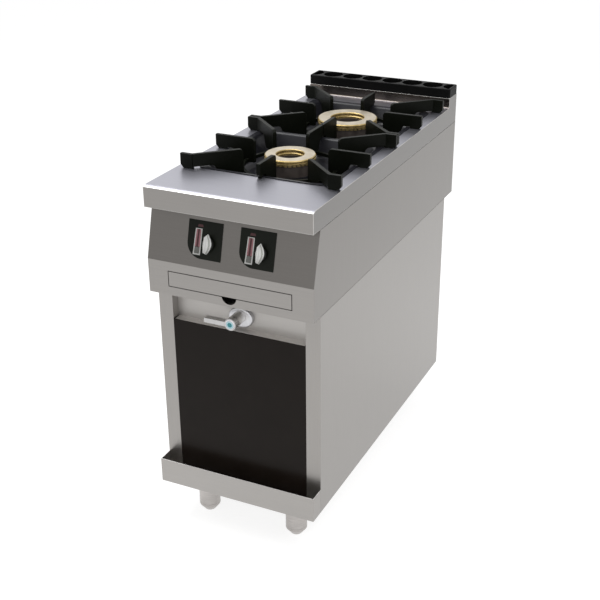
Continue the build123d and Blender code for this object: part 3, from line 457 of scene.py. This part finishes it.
def softened(node, material, width=0.5, segments=2, others=(), edges=None, bm=None):
    """A sheet or casting from its CAD node, with its edges rounded as folding or tumbling does.

    others are pairs: a finish, and a test for the faces that have it instead of the first one.
    edges is the finish of the rounded edges, and bm the node's mesh where it was reshaped first.
    """
    bm = bm or copied(node)
    for index, (_, test) in enumerate(others, 1):
        for face in bm.faces:
            if test(face.normal, face.calc_center_median()):
                face.material_index = index
    materials = [material, *(other for other, _ in others)]
    if edges:
        materials.append(edges)
    eased(bm, sharp_edges(bm), width, segments, len(materials) - 1 if edges else -1)
    return shown(f"{node}_finished", bm, node, materials, [node])


def slab(bm, outline, seat, low, high):
    """Adds a thin plate: an outline of (across, up) points, on a seat that places them in space."""
    rings = [[bm.verts.new(seat(x, y, out)) for x, y in outline] for out in (low, high)]
    bm.faces.new(rings[0])
    bm.faces.new(reversed(rings[1]))
    for i in range(len(outline)):
        j = (i + 1) % len(outline)
        bm.faces.new((rings[0][i], rings[1][i], rings[1][j], rings[0][j]))


def round_outline(radius, middle=(0.0, 0.0), count=40):
    """Points of a circle."""
    turns = [tau * i / count for i in range(count)]
    return [(middle[0] + radius * cos(t), middle[1] + radius * sin(t)) for t in turns]


# Sheet metal: tests that pick the faces of a second finish from their normal and their middle

POSTS_END = FRONT + 150.0
UPSTAND_FOOT_Z = WORKTOP_HIGH.z - 25.0


def faces_up(normal, middle):
    """True for faces that look up, and for the foot of the cove."""
    return normal.z > 0.5


def faced_flat(normal, middle):
    """True for level faces that look up, without the cones beside them."""
    return normal.z > 0.95


def faces_front(normal, middle):
    """True for faces that look to the front."""
    return normal.y < -0.8


def beside_fascia(normal, middle):
    """True for the returns of the front posts, which face each other across the opening."""
    return abs(normal.x) > 0.8 and normal.x * middle.x < 0 and middle.y < POSTS_END


def along_rims(normal, middle):
    """True for the rounded rims above and below an upright sheet."""
    return 0.15 < abs(normal.z) < 0.97


def inside_lip(normal, middle):
    """True for the faces of the base tray that look back or up."""
    return normal.y > 0.8 or normal.z > 0.8


def on_upstand(normal, middle):
    """True for the upright front face below the flue."""
    return normal.y < -0.25 and middle.y > 0 and middle.z > UPSTAND_FOOT_Z


for hand in ("left", "right"):
    # The returns of the front posts take the fascia's lighter steel, painted light in the shaded
    # opening
    softened(f"cabinet_side_{hand}", cabinet_steel, others=[(fascia_steel, beside_fascia)])
    bm = copied(f"side_panel_{hand}")
    level_edges = [e for e in sharp_edges(bm) if abs(e.verts[0].co.z - e.verts[1].co.z) < 0.1]
    eased(bm, level_edges, 1.0)
    # The rims above and below the side panels are painted dark, a painted shadow in the seams
    softened(f"side_panel_{hand}", side_steel, others=[(gap_shadow_steel, along_rims)], bm=bm)
# The inside of the base tray's lip takes the pale steel, as painted light
softened("base_tray", lip_steel, others=[(lip_painted_light_steel, inside_lip)])
# The fascia is painted lighter and its ledge paler still, as painted light under the rail
softened("fascia", fascia_steel, others=[(ledge_steel, faces_up)])
softened("front_rail", rail_steel, 0.35)
# The drawer front's rounded edges are painted dark, a painted shadow in the gap round it
softened("drawer_front", rail_steel, 0.8, edges=gap_shadow_steel)

# The worktop's cove is drawn at the small radius of a pressed bend, where the solid has a wide one
COVE_SOLID = 20.0
COVE_PRESSED = 5.0
TIGHTER = COVE_SOLID - COVE_PRESSED
TOP_SHEET = 2.0
flue_front = place("flue_grille")[0].y
bm = copied("worktop")
for vert in bm.verts:
    out = Vector((vert.co.y - flue_front + COVE_SOLID, vert.co.z - WORKTOP_Z - COVE_SOLID))
    in_sheet = COVE_SOLID - SLACK < out.length < COVE_SOLID + TOP_SHEET + SLACK
    if in_sheet and out.x > -SLACK and out.y < SLACK:
        moved = out.normalized() * TIGHTER
        vert.co.y += TIGHTER - moved.x
        vert.co.z -= TIGHTER + moved.y
rim = [
    e
    for e in sharp_edges(bm)
    if all(abs(v.co.y - flue_front) < 0.1 and abs(v.co.z - WORKTOP_HIGH.z) < 0.1 for v in e.verts)
]
eased(bm, rim, 1.6)
softened(
    "worktop",
    skirt_steel,
    # The upstand takes the dark steel, a painted reflection of the grates
    others=[(top_steel, faces_up), (apron_steel, faces_front), (upstand_steel, on_upstand)],
    width=0.9,
    # The worktop's rounded edges take the lighter steel, a painted highlight
    edges=edge_highlight_steel,
    bm=bm,
)
softened("control_panel", panel_steel)
for node in ("cabinet_back", "upper_back_panel"):
    softened(node, side_steel, 0.3)
for node in ("unit_floor", "flue_duct", "drip_tray", "tray_runners", "burner_rails"):
    softened(node, inner_steel, 0.25)
softened("front_panel", cover_lacquer, 0.4)

# Castings

for node in ("grate_front", "grate_rear"):
    softened(node, grate_enamel, 1.6, 3)

# The openings of the flue grille are drawn wider than in the solid, which leaves thin webs. The
# half ones at both ends stay cut off at the frame's wall.
GRILLE_PITCH = 57.0
GRILLE_WALL = 5.0
WIDER = 1.085
grille_low, grille_high = place("flue_grille")
grille_middle = (grille_low.y + grille_high.y) / 2
cut_off = HALF - GRILLE_WALL
opening_half = (grille_high.y - grille_low.y) / 2 - GRILLE_WALL
bm = copied("flue_grille")
for vert in bm.verts:
    beside = vert.co.y - grille_middle
    if abs(vert.co.x) < cut_off + SLACK and abs(beside) < opening_half + SLACK:
        if abs(vert.co.x) < cut_off - SLACK:
            opening = GRILLE_PITCH * (round(vert.co.x / GRILLE_PITCH - 0.5) + 0.5)
            vert.co.x = opening + WIDER * (vert.co.x - opening)
        vert.co.y = grille_middle + WIDER * beside
softened("flue_grille", flue_enamel, 0.8, bm=bm)
softened("spill_basin", basin_enamel, 0.6)
for node in ("burner_body_front", "burner_body_rear"):
    softened(node, burner_iron, 0.8)
for node in ("burner_ring_front", "burner_ring_rear"):
    softened(node, ring_brass, 0.3, others=[(ring_face_brass, faced_flat)])
for node in ("mixer_tube_front", "mixer_tube_rear"):
    softened(node, mixer_alloy, 0.4)

# Fittings

for node in ("gas_injectors", "gas_valve_left", "gas_valve_right", "tap_nut"):
    softened(node, gas_brass, 0.4)
for node in (
    "gas_manifold",
    "gas_inlet_pipe",
    "pilot_burners",
    "thermocouples",
    "valve_stem_left",
    "valve_stem_right",
    "stem_collar_left",
    "stem_collar_right",
):
    softened(node, pipe_zinc, 0.3)
for node in ("feed_pipe_front", "feed_pipe_rear", "fill_pipe", "water_supply_pipe"):
    softened(node, copper, 0.2)
softened("tap_body", barrel_chrome, 0.6)
softened("tap_flange", flange_chrome, 0.6)
for node in frame["nodes"]:
    if node.startswith("foot_"):
        softened(node, foot_steel, 0.6)
for hand in ("left", "right"):
    softened(f"bezel_{hand}", bezel_plastic, 0.35)
    softened(f"knob_skirt_{hand}", skirt_plastic, 0.4)

# Tap cap, with a disc let into its face and a dot in the middle

CAP_LOW, CAP_HIGH = place("tap_cap")
CAP_MIDDLE = (CAP_LOW + CAP_HIGH) / 2


def on_cap(across, up, out):
    """Point in front of the cap's face."""
    return Vector((CAP_MIDDLE.x + across, CAP_LOW.y - out, CAP_MIDDLE.z + up))


softened("tap_cap", cap_rim, 0.3)

# The lever beside the hub is drawn slimmer than its solid, more so above its middle than below
HUB_RADIUS = 14.0
LEVER_ROOT = -11.0
LEVER_HALF = 8.0
UPPER_SHARE = 0.55
LOWER_SHARE = 0.8
bm = copied("tap_handle")
for vert in bm.verts:
    rise = vert.co.z - CAP_MIDDLE.z
    outside = hypot(vert.co.x, rise) > HUB_RADIUS - 0.5
    if outside and vert.co.x < LEVER_ROOT and abs(rise) < LEVER_HALF + SLACK:
        rise *= UPPER_SHARE if rise > 0 else LOWER_SHARE
        if vert.co.x > -HUB_RADIUS:
            vert.co.x = -((HUB_RADIUS**2 - rise**2) ** 0.5)
        vert.co.z = CAP_MIDDLE.z + rise
softened("tap_handle", lever_chrome, 0.6, others=[(lever_top_chrome, faces_up)], bm=bm)

# Name, radius, height above the cap's face, and finish
CAP_INLAYS = (("disc", 9.2, 0.06, cap_disc), ("dot", 5.4, 0.12, cap_dot))
INLAY_ROOT = -0.6
for name, radius, high, material in CAP_INLAYS:
    bm = bmesh.new()
    slab(bm, round_outline(radius), on_cap, INLAY_ROOT, high)
    shown(f"tap_cap_{name}", bm, "tap_cap", [material])

# Marks printed on the bezels: a tall outline round a dull pink field with a red bar for the level,
# a shaded foot below the field, and a small red spot above the outline

BEZEL_FACE = 1.5
PRINT = 0.08
PRINT_ROOT = -0.2
MARK_OUTER = [
    (-26.4, 27.5), (-25.2, 46.0), (-23.6, 85.0), (-7.4, 85.0), (-7.9, 46.0), (-8.6, 27.5),
]
MARK_INNER = [
    (-23.4, 30.5), (-22.4, 46.0), (-18.6, 83.0), (-12.4, 83.0), (-10.9, 46.0), (-11.4, 30.5),
]
PALE_FIELD = [(-23.0, 45.6), (-21.0, 83.4), (-10.0, 83.4), (-10.4, 45.6)]
RED_BAR = [(-19.6, 46.0), (-17.6, 83.4), (-13.4, 83.4), (-14.2, 46.0)]
SHADED_FOOT = [(-22.8, 31.0), (-22.0, 44.5), (-11.4, 44.5), (-11.9, 31.0)]
RED_SPOT = [(-19.0, 88.5), (-17.5, 94.0), (-6.5, 94.0), (-5.5, 88.5)]


def frame_plate(bm, outer, inner, seat, low, high):
    """Adds a thin plate with a hole of as many corners as its outline."""
    rings = [
        [bm.verts.new(seat(x, y, out)) for x, y in points]
        for out, points in ((low, outer), (low, inner), (high, outer), (high, inner))
    ]
    count = len(outer)
    for i in range(count):
        j = (i + 1) % count
        for a, b in ((0, 1), (1, 3), (3, 2), (2, 0)):
            bm.faces.new((rings[a][i], rings[b][i], rings[b][j], rings[a][j]))


def on_bezel(middle, across, up, out):
    """Point in front of the face of a bezel whose middle is that far across the panel."""
    return on_panel(middle + across, up, BEZEL_FACE + out)


for hand in ("left", "right"):
    bezel = f"bezel_{hand}"
    bezel_low, bezel_high = place(bezel)
    printed = partial(on_bezel, (bezel_low.x + bezel_high.x) / 2)
    bm = bmesh.new()
    frame_plate(bm, MARK_OUTER, MARK_INNER, printed, PRINT_ROOT, PRINT)
    shown(f"{bezel}_level_outline", bm, bezel, [print_grey])
    bm = bmesh.new()
    slab(bm, PALE_FIELD, printed, PRINT_ROOT, 1.2 * PRINT)
    shown(f"{bezel}_level_field", bm, bezel, [print_pink])
    bm = bmesh.new()
    slab(bm, RED_BAR, printed, PRINT_ROOT, 1.8 * PRINT)
    slab(bm, RED_SPOT, printed, PRINT_ROOT, PRINT)
    shown(f"{bezel}_level_bar", bm, bezel, [print_red])
    bm = bmesh.new()
    slab(bm, SHADED_FOOT, printed, PRINT_ROOT, PRINT)
    shown(f"{bezel}_level_foot", bm, bezel, [print_dark])

# Knob grips: a leaf with a rim, two flutes along each flank and a groove along its ridge

KNOB_UP = 55.0
GRIP_BASE = 9.5
GRIP_TOP = 27.4
GRIP_WIDTH = 19.0
GRIP_LENGTH = 43.0

# The foot of the grip is upright, and above it both ends lean in by this much up to the ridge
GRIP_FOOT = 4.0
GRIP_LEAN = 5.0
GRIP_SHARP = 24.0
STATIONS = 32

# Half of the grip's section from its foot to the ridge: share of the half width, and height
FLANK = [
    (1.0, 0.0), (1.0, 2.8), (0.88, 4.6), (0.74, 2.6), (0.6, 7.8), (0.5, 8.8), (0.4, 6.4),
    (0.26, 14.4), (0.2, 17.2), (0.12, 17.9), (0.06, 17.9), (0.0, 16.2),
]

# Strips of the section painted grey as shade: both sides of the groove, and one side of three
# flutes
SHADED_STRIPS = {3, 10, 11, 16, 19}


def leaf_half(turn):
    """Half the width of the leaf at a place along it, from -1 at its foot to 1 at its tip."""
    return GRIP_WIDTH / 2 * (1.0 - abs(turn) ** 1.8)


def grip(hand, across, up):
    """One grip, lofted along the leaf, with its flanks drawn from the rim up to the ridge."""
    bm = bmesh.new()
    columns = []
    for i in range(STATIONS + 1):
        turn = -cos(pi * i / STATIONS)
        column = []
        for share, out in FLANK + [(-share, out) for share, out in FLANK[-2::-1]]:
            rise = max(out - GRIP_FOOT, 0.0) / (GRIP_TOP - GRIP_BASE - GRIP_FOOT)
            along = turn * (GRIP_LENGTH / 2 - GRIP_LEAN * rise)
            aside = share * leaf_half(turn)
            column.append(bm.verts.new(on_panel(across + aside, up + along, GRIP_BASE + out)))
        columns.append(column)
    for near, far in zip(columns, columns[1:]):
        for i in range(len(near) - 1):
            face = bm.faces.new((near[i], near[i + 1], far[i + 1], far[i]))
            face.material_index = int(i in SHADED_STRIPS)
        bm.faces.new((near[-1], near[0], far[0], far[-1]))
    bmesh.ops.remove_doubles(bm, verts=bm.verts, dist=0.01)
    node = f"knob_grip_{hand}"
    shown(f"{node}_fluted", bm, node, [grip_lacquer, flute_painted_shade], [node], GRIP_SHARP)


for hand in ("left", "right"):
    stem_low, stem_high = place(f"valve_stem_{hand}")
    grip(hand, (stem_low.x + stem_high.x) / 2, KNOB_UP)

# Hexagon screws that hold the cabinet back, each with a washer and a round recess

BACK_REAR = place("cabinet_back")[1].y
SCREW_COLUMNS = (-191.0, 191.0)
SCREW_ROWS = (130.0, 285.0, 440.0, 590.0)
WASHER = round_outline(4.9, count=24)
HEAD = round_outline(4.0, count=6)
HEAD_TOP = [(across * 0.92, up * 0.92) for across, up in HEAD]
RECESS = round_outline(1.7, count=6)


def behind_back(x, z, across, up, out):
    """Point behind the cabinet back, seen from the middle of the screw at x and z."""
    return Vector((x + across, BACK_REAR + out, z + up))


bm = bmesh.new()
for x in SCREW_COLUMNS:
    for z in SCREW_ROWS:
        behind = partial(behind_back, x, z)
        slab(bm, WASHER, behind, 0.0, 0.6)
        slab(bm, HEAD, behind, 0.5, 2.4)
        frame_plate(bm, HEAD_TOP, RECESS, behind, 2.3, 2.95)
eased(bm, sharp_edges(bm), 0.15, 1)
shown("back_screws_headed", bm, "back_screws", [pipe_zinc], ["back_screws"])


# Studio, with the camera where the photo was taken from

CAMERA_AT = Vector((1.0634, FRONT * MM - 1.8601, 1.6223))
CAMERA_AZIMUTH = radians(-25.447)
CAMERA_DOWN = radians(25.146)
CAMERA_ROLL = radians(-0.409)

forward = Vector(
    (
        sin(CAMERA_AZIMUTH) * cos(CAMERA_DOWN),
        cos(CAMERA_AZIMUTH) * cos(CAMERA_DOWN),
        -sin(CAMERA_DOWN),
    )
)
level_right = forward.cross(Vector((0, 0, 1))).normalized()
level_up = level_right.cross(forward)
right = cos(CAMERA_ROLL) * level_right + sin(CAMERA_ROLL) * level_up
up = -sin(CAMERA_ROLL) * level_right + cos(CAMERA_ROLL) * level_up

camera_data = bpy.data.cameras.new("camera")
camera_data.sensor_width = 36.0
camera_data.lens = 66.168
camera_data.shift_x = -0.007
camera_data.shift_y = -0.0007
camera = bpy.data.objects.new("camera", camera_data)
bpy.context.scene.collection.objects.link(camera)
turned = Matrix((right, up, -forward)).transposed().to_4x4()
camera.matrix_world = Matrix.Translation(CAMERA_AT) @ turned
bpy.context.scene.camera = camera
bpy.context.scene.view_settings.view_transform = "Standard"


def seen_directly(tree):
    """One for what the camera, a reflection or a transmission sees, and zero for lighting rays."""
    path = put(tree, "LightPath", {})
    either = put(
        tree,
        "Math",
        {0: path.outputs["Is Camera Ray"], 1: path.outputs["Is Glossy Ray"]},
        operation="MAXIMUM",
    )
    return put(
        tree,
        "Math",
        {0: either.outputs[0], 1: path.outputs["Is Transmission Ray"]},
        operation="MAXIMUM",
    ).outputs[0]



# Sky and floor are white where they are seen, but light the stove as a greyer sky and floor would,
# so its steel does not go white and its shadow stays on the floor
FLOOR_GLOW = 0.78
SKY_LIGHT = 0.55
FLOOR_HALF = 16.0
FLOOR_GAP = 0.0005

world = bpy.data.worlds.new("studio")
bpy.context.scene.world = world
world.use_nodes = True
world.node_tree.nodes.clear()
tree = world.node_tree
level = put(tree, "MapRange", {"Value": seen_directly(tree), "To Min": SKY_LIGHT, "To Max": 1.0})
sky = put(tree, "Background", {"Color": linear("#ffffff"), "Strength": level.outputs["Result"]})
put(tree, "OutputWorld", {"Surface": sky.outputs["Background"]})

floor_finish = bpy.data.materials.new("pale_studio_floor")
floor_finish.use_nodes = True
tree = floor_finish.node_tree
tree.nodes.clear()
matt = put(tree, "BsdfDiffuse", {"Color": linear("#a8a8a8")})
glow_level = put(tree, "Math", {0: seen_directly(tree), 1: FLOOR_GLOW}, operation="MULTIPLY")
glow = put(tree, "Emission", {"Color": linear("#ffffff"), "Strength": glow_level.outputs[0]})
both = put(tree, "AddShader", {0: matt.outputs["BSDF"], 1: glow.outputs["Emission"]})
put(tree, "OutputMaterial", {"Surface": both.outputs["Shader"]})

bm = bmesh.new()
bmesh.ops.create_grid(bm, x_segments=8, y_segments=8, size=FLOOR_HALF)
floor_mesh = bpy.data.meshes.new("studio_floor")
bm.to_mesh(floor_mesh)
bm.free()
floor_mesh.materials.append(floor_finish)
floor = bpy.data.objects.new("studio_floor", floor_mesh)
floor.location = (0, 0, -FLOOR_GAP)
bpy.context.scene.collection.objects.link(floor)


def softbox(name, at, towards, size, power):
    """Large soft lamp that shines from one point towards another."""
    lamp = bpy.data.lights.new(name, "AREA")
    lamp.shape = "RECTANGLE"
    lamp.size, lamp.size_y = size
    lamp.energy = power
    holder = bpy.data.objects.new(name, lamp)
    bpy.context.scene.collection.objects.link(holder)
    holder.location = at
    holder.rotation_euler = (Vector(towards) - Vector(at)).to_track_quat("-Z", "Y").to_euler()


softbox("overhead_softbox", (-0.9, 0.1, 2.9), (0, 0, 0.8), (1.5, 1.5), 48.0)
softbox("front_softbox", (0.6, -3.2, 1.8), (0, 0, 0.5), (2.0, 1.6), 12.0)
softbox("right_softbox", (1.7, -1.0, 2.6), (0.5, 0.0, 0.0), (1.2, 1.2), 22.0)

bpy.context.view_layer.update()
